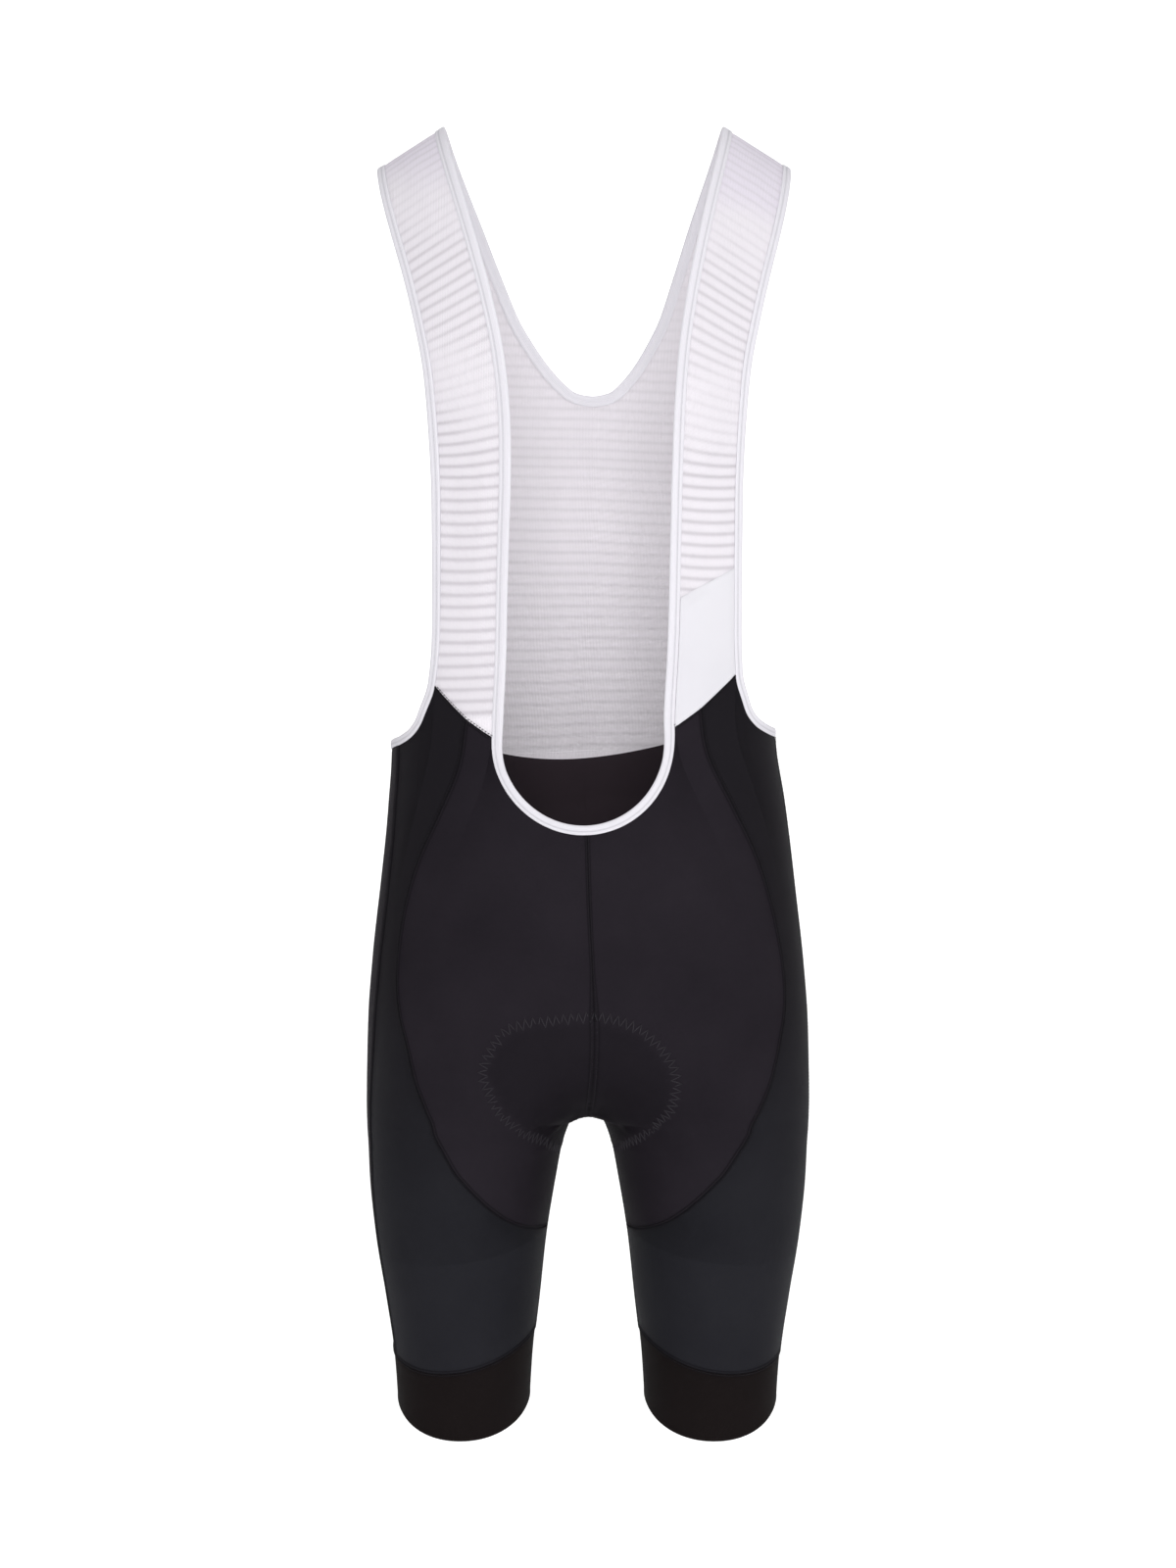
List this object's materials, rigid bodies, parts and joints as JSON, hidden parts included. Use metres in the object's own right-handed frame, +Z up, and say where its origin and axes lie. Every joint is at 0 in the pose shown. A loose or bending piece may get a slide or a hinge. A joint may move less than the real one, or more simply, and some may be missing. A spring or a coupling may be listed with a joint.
{
  "type": "cycling bib shorts",
  "caption": "Close-fitting bib shorts for cycling with striped mesh shoulder straps, deep hem bands and a padded seat, held in worn shape",
  "frame": {"origin": "midway between the tops of the two shoulder straps, where the wearer carries them", "axes": "+X is the wearer's left, the front faces -Y and +Z is up"},
  "size_m": [0.3241, 0.2267, 0.9532],
  "materials": {
    "lycra": "smooth knit with a soft sheen",
    "thigh": "smooth knit with a soft sheen",
    "band": "matt elastic knit",
    "mesh": "striped semi-sheer mesh",
    "elastic": "folded elastic",
    "pad": "brushed microfibre over foam"
  },
  "bodies": {
    "root": {"front_panel_left": "lycra", "front_panel_right": "lycra", "side_panel_left": "thigh", "side_panel_right": "thigh", "back_panel_left": "lycra", "back_panel_right": "lycra", "gripper_left": "band", "gripper_right": "band", "strap_left": "mesh", "strap_right": "mesh", "mesh_back": "mesh", "binding_neck": "elastic", "binding_arm_left": "elastic", "binding_arm_right": "elastic", "strap_patch": "elastic", "seat_pad": "pad"}
  },
  "joints": []
}
